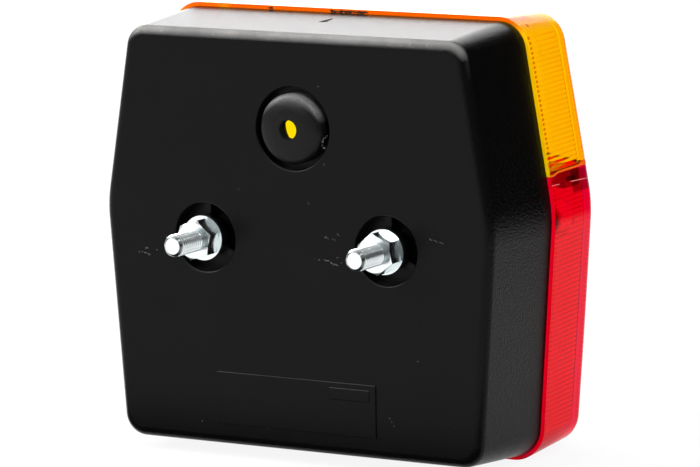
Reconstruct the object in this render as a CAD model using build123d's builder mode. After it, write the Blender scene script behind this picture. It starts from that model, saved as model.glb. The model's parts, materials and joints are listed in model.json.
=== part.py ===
from build123d import *
import math
import os

os.makedirs("parts", exist_ok=True)

# Rear lamp in millimetres: X across, Y out of the rear mounting face, Z up.
# The origin lies midway between the studs on the rear face. Depths run from there towards the lens (-Y).

# Outline of the rear face, mirrored about the centre line
top_half_width = 42.3
top_height = 46.3
kink_half_width = 49.1
kink_height = 6.3
bottom_half_width = 45.3
bottom_drop = 46.4
top_corner_radius = 4.7
kink_radius = 30.0
bottom_corner_radius = 5.0

# Moulded base
base_depth = 24.5
base_flare = 1.9
base_wall = 2.2
rear_wall = 2.5
rear_edge_radius = 2.2
fit_clearance = 0.1
cut_margin = 1.0

# Lens, in two colours, with a tongue that presses on a seal in the base
lens_lip = 0.9
lens_depth = 22.4
lens_shrink = 1.2
lens_wall = 2.2
lens_edge_radius = 3.5
crown_radius = 1200.0
rim_thickness = 2.0
tongue_depth = 3.0
tongue_thickness = 1.8
seal_height = 1.5
seal_width = 2.2
ledge_height = 1.5
border_height = 14.9
border_dip = 0.4
border_land = 4.0

# Fine flutes on the inside of the lens walls
flute_pitch = 1.05
flute_height = 0.16
flute_tip = 0.02
flute_back = 0.3
flute_land = 2.6
flute_front_gap = 4.7
flute_corner_gap = 5.0

# Broad upright flutes on the inside of the lens front
front_flute_pitch = 2.4
front_flute_height = 0.35
front_flute_margin = 5.0

# Light-tight divider between the two chambers
divider_height = 12.0
divider_thickness = 3.8
divider_reach = 43.0
divider_gap = 0.8
divider_sink = 0.4
wing_depth = 36.4
wing_gap = 0.4
slot_width = 0.9
slot_depth = 6.0
lens_rib_thickness = 0.5
lens_rib_gap = 1.0
cable_window_width = 9.0
cable_window_depth = 7.0
cable_window_start = 8.0

# Mounting studs with washers and nuts
stud_spacing = 46.0
stud_diameter = 5.0
stud_shank_diameter = 4.5
stud_reach = 13.6
stud_chamfer = 0.7
stud_recess_diameter = 15.4
stud_recess_depth = 4.0
stud_boss_diameter = 9.0
cup_wall = 2.0
recess_rim_radius = 0.4
recess_rib_count = 3
recess_rib_thickness = 1.5
recess_rib_drop = 1.4
recess_rib_sink = 0.5
head_across_flats = 8.0
head_thickness = 3.5
pocket_wall = 1.8
washer_diameter = 10.0
washer_thickness = 1.1
nut_across_flats = 8.0
nut_thickness = 4.0
nut_chamfer_angle = 30.0
nut_turns = (-8.0, 12.0)

# Cable grommet
grommet_height = 25.5
grommet_recess_diameter = 18.4
grommet_recess_depth = 3.0
grommet_diameter = 15.6
grommet_crown = 1.9
grommet_shoulder_drop = 0.4
grommet_edge_radius = 1.9
grommet_hole_diameter = 4.3
grommet_hole_length = 2.2
grommet_neck_diameter = 13.6
grommet_neck_wall = 1.1
grommet_flange_diameter = 16.2
grommet_flange_thickness = 1.8

# Lens screws
screw_gap = 1.3
screw_height = 2.5
screw_diameter = 4.0
screw_length = 24.0
screw_head_diameter = 6.2
screw_head_thickness = 2.4
screw_head_radius = 0.8
screw_slot_width = 1.0
screw_slot_depth = 1.2
screw_well_diameter = 6.6
screw_well_depth = 38.0
screw_boss_diameter = 7.8

# Bulbs, both lying across the lamp with their caps on the same side
indicator_height = 31.0
stop_tail_height = -23.0
bulb_depth = 20.0
bulb_length = 48.5
bulb_radius = 11.5
glass_wall = 0.7
neck_radius = 6.6
neck_seat = 2.5
shoulder_angle = 50.0
stem_radius = 3.2
stem_length = 11.0
cap_radius = 7.5
cap_clearance = 0.15
cap_length = 16.0
cap_chamfer = 1.0
cap_contact_radius = 2.0
cap_contact_height = 0.4
pin_radius = 1.0
pin_reach = 1.2
pin_place = 7.0
filament_offset = 2.4
filament_length = 8.0
filament_wire_radius = 0.3
filament_coil_radius = 0.6
filament_pair_gap = 2.4

# Bulb holders, riveted to posts of the base over one earth strip
holder_gap = 0.8
holder_length = 15.0
holder_wall = 0.7
holder_slot_width = 2.4
foot_setback = 8.0
foot_length = 12.0
foot_span = 26.0
foot_thickness = 1.4
foot_sink = 0.55
rivet_offset = 10.5
rivet_diameter = 3.0
rivet_depth = 5.0
rivet_head_diameter = 5.2
rivet_head_thickness = 1.2
rivet_head_radius = 0.6
post_diameter = 6.4
earth_width = 5.0
earth_thickness = 0.8
earth_blade_width = 6.3
earth_blade_length = 7.0
insulator_thickness = 2.0
contact_thickness = 0.6
contact_button_radius = 1.5
contact_pair_offset = 3.2
contact_width = 4.5
contact_overhang = 2.5
contact_end_depth = 8.0

# Corners of the outline, from the top on +X down and round to the top on -X
right_corners = [
    (top_half_width, top_height),
    (kink_half_width, kink_height),
    (bottom_half_width, -bottom_drop),
]
outline_corners = right_corners + [(-x, z) for x, z in reversed(right_corners)]
right_radii = [top_corner_radius, kink_radius, bottom_corner_radius]

# Drafts, and depths of the lens seat
base_draft = math.degrees(math.atan(base_flare / base_depth))
lens_draft = math.degrees(math.atan(lens_shrink / lens_depth))
seam_grow = base_flare + lens_lip
ledge_depth = base_depth - tongue_depth - seal_height - ledge_height
seal_depth = ledge_depth + ledge_height
tongue_start = base_depth - tongue_depth
lamp_depth = base_depth + lens_depth


def depth_plane(depth):
    """Sketch plane across the lamp at a depth, with its normal towards the lens."""
    return Plane.XZ.offset(depth)


def axis_plane(height):
    """Sketch plane through a bulb's axis: first direction along the bulb, second upward."""
    return Plane(origin=(0, -bulb_depth, height), x_dir=(1, 0, 0), z_dir=(0, -1, 0))


def cross_plane(place, height):
    """Sketch plane across a bulb's axis at a place along it, with its first direction upward."""
    return Plane(origin=(place, -bulb_depth, height), x_dir=(0, 0, 1), z_dir=(1, 0, 0))


def bulb_axis(height):
    """Axis line of a bulb."""
    return Axis((0, -bulb_depth, height), (1, 0, 0))


def lamp_outline(grow):
    """Six-sided outline of the rear face, with every side moved outward by grow."""
    with BuildSketch() as outline:
        with BuildLine():
            FilletPolyline(*outline_corners, radius=right_radii + right_radii[::-1], close=True)
        make_face()
        if grow:
            offset(amount=grow, mode=Mode.REPLACE)
    return outline.sketch


def base_grow(depth):
    """How far the base's outer wall stands outside the rear outline at a depth."""
    return base_flare * depth / base_depth


def lens_grow(depth):
    """How far the lens's inner wall stands outside the rear outline at a depth."""
    return seam_grow - lens_shrink * (depth - base_depth) / lens_depth - lens_wall


def half_width(height, grow):
    """Half the width of the outline, moved outward by grow, at a height above the kink."""
    slope = (kink_half_width - top_half_width) / (top_height - kink_height)
    return kink_half_width - slope * (height - kink_height) + grow * math.hypot(1, slope)


def lens_form(inset):
    """Crowned lens form from the seam to the front, moved inward by inset."""
    with BuildPart() as form:
        with BuildSketch(depth_plane(base_depth)):
            add(lamp_outline(seam_grow - inset))
        extrude(amount=lens_depth, taper=lens_draft)
        with Locations((0, crown_radius - lamp_depth, 0)):
            Sphere(crown_radius - inset, mode=Mode.INTERSECT)
        fillet(form.faces().sort_by(Axis.Y)[0].edges(), lens_edge_radius - inset)
    return form.part


def wall_plane(start, end, depth):
    """Plane across the lens wall over one side of the outline: first direction along it, second outward."""
    run = Vector(end[0] - start[0], 0, end[1] - start[1])
    outward = Vector(-run.Z, 0, run.X).normalized()
    middle = Vector((start[0] + end[0]) / 2, -depth, (start[1] + end[1]) / 2)
    along_wall = Vector(0, -1, 0) - outward * math.tan(math.radians(lens_draft))
    return Plane(origin=middle + outward * lens_grow(depth), x_dir=run.normalized(), z_dir=along_wall)


# Places that follow from the outline and the lens seat
tongue_grow = base_grow(seal_depth) - base_wall - fit_clearance
tongue_inner_grow = tongue_grow - tongue_thickness
seal_inner_grow = tongue_grow - seal_width
stud_points = [(-stud_spacing / 2, 0), (stud_spacing / 2, 0)]
screw_offset = kink_half_width + tongue_inner_grow - screw_boss_diameter / 2 - screw_gap
screw_points = [(-screw_offset, screw_height), (screw_offset, screw_height)]
head_depth = stud_recess_depth + cup_wall
nut_top = washer_thickness + nut_thickness

# Places along the bulbs, which start beside the seal at the height of the upper bulb
axis_heights = {"indicator": indicator_height, "stop_tail": stop_tail_height}
holder_bore = cap_radius + cap_clearance
holder_radius = holder_bore + holder_wall
narrow_height = indicator_height + holder_radius
holder_end = contact_thickness + holder_gap - half_width(narrow_height, seal_inner_grow)
insulator_end = holder_end + insulator_thickness
button_end = insulator_end + cap_contact_height
cap_end = button_end + cap_contact_height
cap_front = cap_end + cap_length
foot_place = holder_end + foot_setback
foot_depth = bulb_depth - holder_radius + foot_sink - foot_thickness
earth_depth = foot_depth - earth_thickness
rivet_points = [
    (foot_place, height + side * rivet_offset) for height in axis_heights.values() for side in (-1, 1)
]

# Base housing: drafted shell, with its recesses, posts, divider and seal ledge
with BuildPart() as base_housing:
    with BuildSketch(depth_plane(0)):
        add(lamp_outline(0))
    extrude(amount=base_depth, taper=-base_draft)
    fillet(base_housing.faces().sort_by(Axis.Y)[-1].edges(), rear_edge_radius)
    with BuildSketch(depth_plane(rear_wall)):
        add(lamp_outline(base_grow(rear_wall) - base_wall))
    extrude(amount=base_depth - rear_wall, taper=-base_draft, mode=Mode.SUBTRACT)

    # Ledge under the seal
    with BuildSketch(depth_plane(ledge_depth)):
        add(lamp_outline(base_grow(ledge_depth) - base_wall / 2))
        add(lamp_outline(seal_inner_grow), mode=Mode.SUBTRACT)
    extrude(amount=ledge_height)

    # Divider: full width in the base, narrow past the tongue, with wings beside the lens wall
    divider_root_grow = base_grow(ledge_depth) - base_wall + divider_sink
    divider_widths = [
        (rear_wall / 2, ledge_depth, half_width(divider_height, divider_root_grow)),
        (rear_wall / 2, divider_reach, half_width(divider_height, tongue_inner_grow) - divider_gap),
        (wing_depth, divider_reach, half_width(divider_height, lens_grow(divider_reach)) - wing_gap),
    ]
    for start, end, reach in divider_widths:
        with BuildSketch(depth_plane(start)):
            with Locations((0, divider_height)):
                Rectangle(2 * reach, divider_thickness)
        extrude(amount=end - start)
    with BuildSketch(depth_plane(divider_reach - slot_depth)):
        with Locations((0, divider_height)):
            Rectangle(2 * kink_half_width, slot_width)
    extrude(amount=slot_depth, mode=Mode.SUBTRACT)

    # Windows in the divider for the cable and the earth strip
    with BuildSketch(depth_plane(cable_window_start)):
        with Locations((0, divider_height)):
            Rectangle(cable_window_width, 2 * divider_thickness)
    extrude(amount=cable_window_depth, mode=Mode.SUBTRACT)
    with BuildSketch(depth_plane(earth_depth - fit_clearance)):
        with Locations((foot_place, divider_height)):
            Rectangle(earth_width + 2 * fit_clearance, 2 * divider_thickness)
    extrude(amount=earth_thickness + 2 * fit_clearance, mode=Mode.SUBTRACT)

    # Cups behind the stud and cable recesses, and pockets for the bolt heads
    with BuildSketch(depth_plane(rear_wall / 2)):
        with Locations(*stud_points):
            Circle(stud_recess_diameter / 2 + cup_wall)
    extrude(amount=head_depth - rear_wall / 2)
    with BuildSketch(depth_plane(rear_wall / 2)):
        with Locations((0, grommet_height)):
            Circle(grommet_recess_diameter / 2 + cup_wall)
    extrude(amount=grommet_recess_depth + cup_wall - rear_wall / 2)
    with BuildSketch(depth_plane(head_depth)):
        with Locations(*stud_points):
            RegularPolygon(head_across_flats / 2 + pocket_wall, 6, major_radius=False)
            RegularPolygon(
                head_across_flats / 2 + fit_clearance, 6, major_radius=False, mode=Mode.SUBTRACT
            )
    extrude(amount=head_thickness)

    # Stud recesses with a central boss and radial ribs
    with BuildSketch(depth_plane(0)):
        with Locations(*stud_points):
            Circle(stud_recess_diameter / 2)
            Circle(stud_boss_diameter / 2, mode=Mode.SUBTRACT)
    extrude(amount=stud_recess_depth, mode=Mode.SUBTRACT)
    rib_middle = (stud_recess_diameter + stud_boss_diameter) / 4
    rib_length = (stud_recess_diameter - stud_boss_diameter) / 2 + 2 * recess_rib_sink
    with BuildSketch(depth_plane(recess_rib_drop)):
        for x, z in stud_points:
            with Locations((x, z)):
                with PolarLocations(rib_middle, recess_rib_count, start_angle=90):
                    Rectangle(rib_length, recess_rib_thickness)
    extrude(amount=stud_recess_depth - recess_rib_drop)
    with BuildSketch(depth_plane(0)):
        with Locations(*stud_points):
            Circle(stud_shank_diameter / 2 + fit_clearance)
    extrude(amount=head_depth, mode=Mode.SUBTRACT)

    # Cable recess and the hole for the grommet's neck
    with BuildSketch(depth_plane(0)):
        with Locations((0, grommet_height)):
            Circle(grommet_recess_diameter / 2)
    extrude(amount=grommet_recess_depth, mode=Mode.SUBTRACT)
    with BuildSketch(depth_plane(0)):
        with Locations((0, grommet_height)):
            Circle(grommet_neck_diameter / 2 + fit_clearance)
    extrude(amount=grommet_recess_depth + cup_wall, mode=Mode.SUBTRACT)

    # Rounded rims of the three recesses
    rings = base_housing.edges().filter_by(GeomType.CIRCLE).filter_by(lambda edge: edge.is_closed)
    rims = rings.group_by(Axis.Y)[-1].filter_by(lambda edge: edge.radius > rib_middle)
    fillet(rims, recess_rim_radius)

    # Posts for the lens screws and for the bulb holders
    with BuildSketch(depth_plane(rear_wall / 2)):
        with Locations(*screw_points):
            Circle(screw_boss_diameter / 2)
    extrude(amount=base_depth - rear_wall / 2)
    with BuildSketch(depth_plane(screw_well_depth - screw_length)):
        with Locations(*screw_points):
            Circle(screw_diameter / 2 + fit_clearance)
    extrude(amount=screw_length, mode=Mode.SUBTRACT)
    with BuildSketch(depth_plane(rear_wall / 2)):
        with Locations(*rivet_points):
            Circle(post_diameter / 2)
    extrude(amount=earth_depth - rear_wall / 2)
    with BuildSketch(depth_plane(earth_depth - rivet_depth)):
        with Locations(*rivet_points):
            Circle(rivet_diameter / 2 + fit_clearance)
    extrude(amount=rivet_depth, mode=Mode.SUBTRACT)

base_housing.part.label = "base_housing"
export_step(base_housing.part, "parts/base_housing.step")

# Cutter for the front flutes: a comb turned about the crown's middle, within an inset outline
with BuildPart() as front_comb:
    crown_middle = crown_radius - lamp_depth
    inner_crown = crown_radius - lens_wall
    steps = 2 * int((bottom_half_width - front_flute_margin) / front_flute_pitch)
    zigzag = []
    for step in range(-steps, steps + 1):
        x = step * front_flute_pitch / 2
        radius = inner_crown + front_flute_height * (step % 2) - flute_tip
        zigzag.append((x, crown_middle - math.sqrt(radius**2 - x**2)))
    with BuildSketch():
        with BuildLine():
            reach = zigzag[-1][0]
            back = zigzag[-1][1] + flute_back
            Polyline(*zigzag, (reach, back), (-reach, back), close=True)
        make_face()
    crown_arc = math.degrees(math.asin(bottom_drop / inner_crown))
    revolve(axis=Axis((0, crown_middle, 0), (1, 0, 0)), revolution_arc=crown_arc)
    mirror(about=Plane.XY)
    with BuildSketch(depth_plane(base_depth)):
        add(lamp_outline(lens_grow(lamp_depth) - front_flute_margin))
    extrude(amount=2 * lens_depth, mode=Mode.INTERSECT)

# Lens shell of both colours: crowned wall, inner rim and the tongue that enters the base
with BuildPart() as lens_shell:
    add(lens_form(0))
    add(lens_form(lens_wall), mode=Mode.SUBTRACT)
    add(front_comb.part, mode=Mode.SUBTRACT)
    with BuildSketch(depth_plane(base_depth)):
        add(lamp_outline(seam_grow - lens_wall / 2))
        add(lamp_outline(tongue_inner_grow), mode=Mode.SUBTRACT)
    extrude(amount=rim_thickness)
    with BuildSketch(depth_plane(tongue_start)):
        add(lamp_outline(tongue_grow))
        add(lamp_outline(tongue_inner_grow), mode=Mode.SUBTRACT)
    extrude(amount=tongue_depth)

# Room above the colour border, which dips a little at the lens's rim
with BuildPart() as above_border:
    with BuildSketch(Plane.YZ):
        with BuildLine():
            Polyline(
                (0, border_height - border_dip),
                (-base_depth - border_land / 2, border_height - border_dip),
                (-base_depth - border_land, border_height),
                (-2 * lamp_depth, border_height),
                (-2 * lamp_depth, 2 * top_height),
                (0, 2 * top_height),
                close=True,
            )
        make_face()
    extrude(amount=2 * kink_half_width, both=True)

# Combs that cut the flutes, one along each side of the outline
with BuildPart() as flute_combs:
    flute_start = base_depth + flute_land
    for start, end in zip(outline_corners, outline_corners[1:] + outline_corners[:1]):
        count = int((math.dist(start, end) - 2 * flute_corner_gap) / flute_pitch)
        reach = count * flute_pitch / 2
        zigzag = [
            (step * flute_pitch / 2 - reach, flute_height * (step % 2) - flute_tip)
            for step in range(2 * count + 1)
        ]
        with BuildSketch(wall_plane(start, end, flute_start)):
            with BuildLine():
                Polyline((-reach, -flute_back), *zigzag, (reach, -flute_back), close=True)
            make_face()
        extrude(amount=lamp_depth - flute_front_gap - flute_start)

# Amber lens: the part of the shell above the border
with BuildPart() as amber_lens:
    add(lens_shell.part)
    add(above_border.part, mode=Mode.INTERSECT)
    add(flute_combs.part, mode=Mode.SUBTRACT)
amber_lens.part.label = "amber_lens"
export_step(amber_lens.part, "parts/amber_lens.step")

# Red lens: the rest of the shell, with the divider rib and the screw bosses
with BuildPart() as red_lens:
    add(lens_shell.part)
    add(above_border.part, mode=Mode.SUBTRACT)
    rib_start = divider_reach - slot_depth + lens_rib_gap
    with BuildSketch(depth_plane(rib_start)):
        with Locations((0, divider_height)):
            Rectangle(2 * divider_widths[-1][2], lens_rib_thickness)
    extrude(amount=lamp_depth - lens_wall - rib_start)
    with BuildSketch(depth_plane(base_depth)):
        with Locations(*screw_points):
            Circle(screw_boss_diameter / 2)
    extrude(amount=lens_depth - lens_wall)
    with BuildSketch(depth_plane(base_depth)):
        with Locations(*screw_points):
            Circle(screw_diameter / 2 + fit_clearance)
    extrude(amount=lens_depth, mode=Mode.SUBTRACT)
    with BuildSketch(depth_plane(screw_well_depth)):
        with Locations(*screw_points):
            Circle(screw_well_diameter / 2)
    extrude(amount=lamp_depth - screw_well_depth, mode=Mode.SUBTRACT)
    add(flute_combs.part, mode=Mode.SUBTRACT)
red_lens.part.label = "red_lens"
export_step(red_lens.part, "parts/red_lens.step")

# Lens seal: flat ring on the ledge, pressed by the tongue
with BuildPart() as lens_seal:
    with BuildSketch(depth_plane(seal_depth)):
        add(lamp_outline(tongue_grow))
        add(lamp_outline(seal_inner_grow), mode=Mode.SUBTRACT)
    extrude(amount=seal_height)
lens_seal.part.label = "lens_seal"
export_step(lens_seal.part, "parts/lens_seal.step")

# Cable grommet: domed rubber ring turned about its hole
with BuildPart() as cable_grommet:
    hole_radius = grommet_hole_diameter / 2
    dome_radius = grommet_diameter / 2
    neck_outer = grommet_neck_diameter / 2
    neck_inner = neck_outer - grommet_neck_wall
    floor_inside = -grommet_recess_depth - cup_wall
    flange_end = floor_inside - grommet_flange_thickness
    hole_end = grommet_crown - grommet_hole_length
    with BuildSketch(Plane(origin=(0, 0, grommet_height), x_dir=(1, 0, 0), z_dir=(0, 0, 1))):
        with BuildLine():
            shoulder_top = grommet_crown - grommet_shoulder_drop
            shoulder = (dome_radius - grommet_edge_radius, shoulder_top)
            edge = (dome_radius, shoulder_top - grommet_edge_radius)
            Spline((hole_radius, grommet_crown), shoulder, edge, tangents=[(1, 0), (0, -1)])
            Polyline(
                edge,
                (dome_radius, -grommet_recess_depth),
                (neck_outer, -grommet_recess_depth),
                (neck_outer, floor_inside),
                (grommet_flange_diameter / 2, floor_inside),
                (neck_outer, flange_end),
                (neck_inner, flange_end),
                (neck_inner, hole_end - grommet_neck_wall),
                (hole_radius, hole_end),
                (hole_radius, grommet_crown),
            )
        make_face()
    revolve(axis=Axis((0, 0, grommet_height), (0, 1, 0)))
cable_grommet.part.label = "cable_grommet"
export_step(cable_grommet.part, "parts/cable_grommet.step")

# Mounting studs: bolts with their heads in the base's pockets and full thread past the nuts
with BuildPart() as mounting_studs:
    with BuildSketch(depth_plane(head_depth)):
        with Locations(*stud_points):
            RegularPolygon(head_across_flats / 2, 6, major_radius=False)
    extrude(amount=head_thickness)
    with BuildSketch(depth_plane(-nut_top)):
        with Locations(*stud_points):
            Circle(stud_shank_diameter / 2)
    extrude(amount=nut_top + head_depth)
    with BuildSketch(depth_plane(-stud_reach)):
        with Locations(*stud_points):
            Circle(stud_diameter / 2)
    extrude(amount=stud_reach - nut_top)
    ends = mounting_studs.faces().filter_by(Axis.Y).group_by(Axis.Y)[-1]
    chamfer(ends.edges(), stud_chamfer)
mounting_studs.part.label = "mounting_studs"
export_step(mounting_studs.part, "parts/mounting_studs.step")

# Stud washers on the bosses
with BuildPart() as stud_washers:
    with BuildSketch(depth_plane(-washer_thickness)):
        with Locations(*stud_points):
            Circle(washer_diameter / 2)
            Circle(stud_shank_diameter / 2 + fit_clearance, mode=Mode.SUBTRACT)
    extrude(amount=washer_thickness)
stud_washers.part.label = "stud_washers"
export_step(stud_washers.part, "parts/stud_washers.step")

# Stud nuts: hexagons with chamfered corners on both faces
with BuildPart() as stud_nuts:
    nut_corner = nut_across_flats / 2 / math.cos(math.radians(30))
    nut_bevel = (nut_corner - nut_across_flats / 2) * math.tan(math.radians(nut_chamfer_angle))
    with BuildSketch(depth_plane(-nut_top)):
        for (x, z), turn in zip(stud_points, nut_turns):
            with Locations(Location((x, z), 90 + turn)):
                RegularPolygon(nut_across_flats / 2, 6, major_radius=False)
                Circle(stud_shank_diameter / 2 + fit_clearance, mode=Mode.SUBTRACT)
    extrude(amount=nut_thickness)
    for x, z in stud_points:
        with BuildSketch(Plane(origin=(x, 0, z), x_dir=(1, 0, 0), z_dir=(0, 0, 1))):
            for face, side in ((nut_top, 1), (washer_thickness, -1)):
                with BuildLine():
                    Polyline(
                        (nut_across_flats / 2, face),
                        (nut_corner, face - side * nut_bevel),
                        (nut_corner + cut_margin, face - side * nut_bevel),
                        (nut_corner + cut_margin, face),
                        close=True,
                    )
                make_face()
        revolve(axis=Axis((x, 0, z), (0, 1, 0)), mode=Mode.SUBTRACT)
stud_nuts.part.label = "stud_nuts"
export_step(stud_nuts.part, "parts/stud_nuts.step")

# Lens screws at the bottom of the lens wells
with BuildPart() as lens_screws:
    with BuildSketch(depth_plane(screw_well_depth - screw_length)):
        with Locations(*screw_points):
            Circle(screw_diameter / 2)
    extrude(amount=screw_length)
    with BuildSketch(depth_plane(screw_well_depth)):
        with Locations(*screw_points):
            Circle(screw_head_diameter / 2)
    extrude(amount=screw_head_thickness)
    heads = lens_screws.faces().filter_by(Axis.Y).group_by(Axis.Y)[0]
    fillet(heads.edges(), screw_head_radius)
    with BuildSketch(depth_plane(screw_well_depth + screw_head_thickness - screw_slot_depth)):
        with Locations(*screw_points):
            Rectangle(screw_head_diameter + 2 * cut_margin, screw_slot_width)
    extrude(amount=screw_slot_depth, mode=Mode.SUBTRACT)
lens_screws.part.label = "lens_screws"
export_step(lens_screws.part, "parts/lens_screws.step")

# Earth strip along the posts under both holders, with a blade for the cable
with BuildPart() as earth_strip:
    strip_top = indicator_height + foot_span / 2
    strip_bottom = stop_tail_height - foot_span / 2
    with BuildSketch(depth_plane(earth_depth)):
        with Locations((foot_place, (strip_top + strip_bottom) / 2)):
            Rectangle(earth_width, strip_top - strip_bottom)
        with Locations(*rivet_points):
            Circle(rivet_diameter / 2 + fit_clearance, mode=Mode.SUBTRACT)
    extrude(amount=earth_thickness)
    with BuildSketch(depth_plane(earth_depth)):
        with Locations((foot_place, 0)):
            Rectangle(earth_blade_width, earth_thickness)
    extrude(amount=earth_thickness + earth_blade_length)
earth_strip.part.label = "earth_strip"
export_step(earth_strip.part, "parts/earth_strip.step")

# Rivets through the holders' feet and the earth strip
with BuildPart() as holder_rivets:
    with BuildSketch(depth_plane(earth_depth - rivet_depth)):
        with Locations(*rivet_points):
            Circle(rivet_diameter / 2)
    extrude(amount=rivet_depth + earth_thickness + foot_thickness)
    with BuildSketch(depth_plane(foot_depth + foot_thickness)):
        with Locations(*rivet_points):
            Circle(rivet_head_diameter / 2)
    extrude(amount=rivet_head_thickness)
    rivet_heads = holder_rivets.faces().filter_by(Axis.Y).group_by(Axis.Y)[0]
    fillet(rivet_heads.edges(), rivet_head_radius)
holder_rivets.part.label = "holder_rivets"
export_step(holder_rivets.part, "parts/holder_rivets.step")

# Bulb holders, insulators and bulbs, made alike for both chambers
for bulb, height in axis_heights.items():
    two_contacts = bulb == "stop_tail"
    offsets = [-contact_pair_offset, contact_pair_offset] if two_contacts else [0]

    # Holder: bayonet sleeve with two hooked slots on a riveted foot
    with BuildPart() as bulb_holder:
        with BuildSketch(cross_plane(holder_end, height)):
            Circle(holder_radius)
        extrude(amount=holder_length)
        with BuildSketch(depth_plane(foot_depth)):
            with Locations((foot_place, height)):
                Rectangle(foot_length, foot_span)
        extrude(amount=foot_thickness)
        with BuildSketch(cross_plane(holder_end, height)):
            Circle(holder_bore)
        extrude(amount=holder_length, mode=Mode.SUBTRACT)
        pin_x = cap_end + pin_place
        slot_length = holder_end + holder_length - pin_x + pin_radius
        with BuildSketch(depth_plane(bulb_depth - holder_slot_width / 2)):
            with Locations(((pin_x - pin_radius + holder_end + holder_length) / 2, height)):
                Rectangle(slot_length, 2 * (holder_radius + cut_margin))
        extrude(amount=holder_slot_width, mode=Mode.SUBTRACT)
        with BuildSketch(depth_plane(foot_depth)):
            with Locations(*rivet_points):
                Circle(rivet_diameter / 2 + fit_clearance)
        extrude(amount=foot_thickness, mode=Mode.SUBTRACT)
    bulb_holder.part.label = f"{bulb}_bulb_holder"
    export_step(bulb_holder.part, f"parts/{bulb}_bulb_holder.step")

    # Insulating disc in the end of the sleeve
    with BuildPart() as insulator:
        with BuildSketch(cross_plane(holder_end, height)):
            Circle(holder_bore - fit_clearance)
            with Locations(*[(place, 0) for place in offsets]):
                Circle(contact_button_radius + fit_clearance, mode=Mode.SUBTRACT)
        extrude(amount=insulator_thickness)
    insulator.part.label = f"{bulb}_insulator"
    export_step(insulator.part, f"parts/{bulb}_insulator.step")

    # Contact strips: a leaf behind the disc with a button through it and a blade towards the rear wall
    names = ["stop_contact", "tail_contact"] if two_contacts else ["indicator_contact"]
    for contact_name, place in zip(names, offsets):
        with BuildPart() as contact:
            leaf_length = bulb_depth + contact_overhang - contact_end_depth
            with BuildSketch(cross_plane(holder_end - contact_thickness, height)):
                with Locations((place, leaf_length / 2 - contact_overhang)):
                    Rectangle(contact_width, leaf_length)
            extrude(amount=contact_thickness)
            with BuildSketch(cross_plane(holder_end, height)):
                with Locations((place, 0)):
                    Circle(contact_button_radius)
            extrude(amount=button_end - holder_end)
        contact.part.label = contact_name
        export_step(contact.part, f"parts/{contact_name}.step")

    # Bulb cap with its solder contacts and two bayonet pins
    with BuildPart() as bulb_cap:
        with BuildSketch(cross_plane(cap_end, height)):
            Circle(cap_radius)
        extrude(amount=cap_length)
        chamfer(bulb_cap.faces().sort_by(Axis.X)[0].edges(), cap_chamfer)
        with BuildSketch(cross_plane(cap_front - neck_seat, height)):
            Circle(neck_radius + fit_clearance)
        extrude(amount=neck_seat, mode=Mode.SUBTRACT)
        with BuildSketch(cross_plane(button_end, height)):
            with Locations(*[(place, 0) for place in offsets]):
                Circle(cap_contact_radius)
        extrude(amount=cap_contact_height)
        with BuildSketch(Plane.XY.offset(height - cap_radius - pin_reach)):
            with Locations((cap_end + pin_place, -bulb_depth)):
                Circle(pin_radius)
        extrude(amount=2 * (cap_radius + pin_reach))
    bulb_cap.part.label = f"{bulb}_bulb_cap"
    export_step(bulb_cap.part, f"parts/{bulb}_bulb_cap.step")

    # Bulb glass: hollow envelope with a stem that carries the filament wires
    with BuildPart() as bulb_glass:
        glass_start = cap_front - neck_seat
        tip = cap_end + bulb_length
        middle = tip - bulb_radius
        turn = math.radians(shoulder_angle)
        inner_radius = bulb_radius - glass_wall
        inner_neck = neck_radius - glass_wall
        neck_end = cap_front + neck_seat
        stem_end = glass_start + stem_length
        with BuildSketch(axis_plane(height)):
            with BuildLine():
                outer_shoulder = (middle - bulb_radius * math.cos(turn), bulb_radius * math.sin(turn))
                inner_shoulder = (middle - inner_radius * math.cos(turn), inner_radius * math.sin(turn))
                seat = [(glass_start, 0), (glass_start, neck_radius), (neck_end, neck_radius)]
                Polyline(*seat, outer_shoulder)
                ThreePointArc(outer_shoulder, (middle, bulb_radius), (tip, 0))
                Line((tip, 0), (tip - glass_wall, 0))
                ThreePointArc((tip - glass_wall, 0), (middle, inner_radius), inner_shoulder)
                Polyline(
                    inner_shoulder,
                    (neck_end, inner_neck),
                    (glass_start + neck_seat, inner_neck),
                    (glass_start + neck_seat, stem_radius),
                    (stem_end, stem_radius),
                    (stem_end, 0),
                    (glass_start, 0),
                )
            make_face()
        revolve(axis=bulb_axis(height))
    bulb_glass.part.label = f"{bulb}_bulb_glass"
    export_step(bulb_glass.part, f"parts/{bulb}_bulb_glass.step")

    # Filaments: two wires on the stem with a coil between their ends
    with BuildPart() as filament:
        rows = [-filament_pair_gap / 2, filament_pair_gap / 2] if two_contacts else [0]
        with BuildSketch(cross_plane(stem_end, height)):
            for row in rows:
                with Locations((-filament_offset, row), (filament_offset, row)):
                    Circle(filament_wire_radius)
        extrude(amount=filament_length)
        for row in rows:
            coil_plane = Plane.XY.offset(height - filament_offset - filament_wire_radius)
            with BuildSketch(coil_plane):
                with Locations((stem_end + filament_length, row - bulb_depth)):
                    Circle(filament_coil_radius)
            extrude(amount=2 * (filament_offset + filament_wire_radius))
    filament_name = "stop_tail_bulb_filaments" if two_contacts else "indicator_bulb_filament"
    filament.part.label = filament_name
    export_step(filament.part, f"parts/{filament_name}.step")
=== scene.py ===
import json
import math
import random

import bpy
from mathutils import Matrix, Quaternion, Vector


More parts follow.
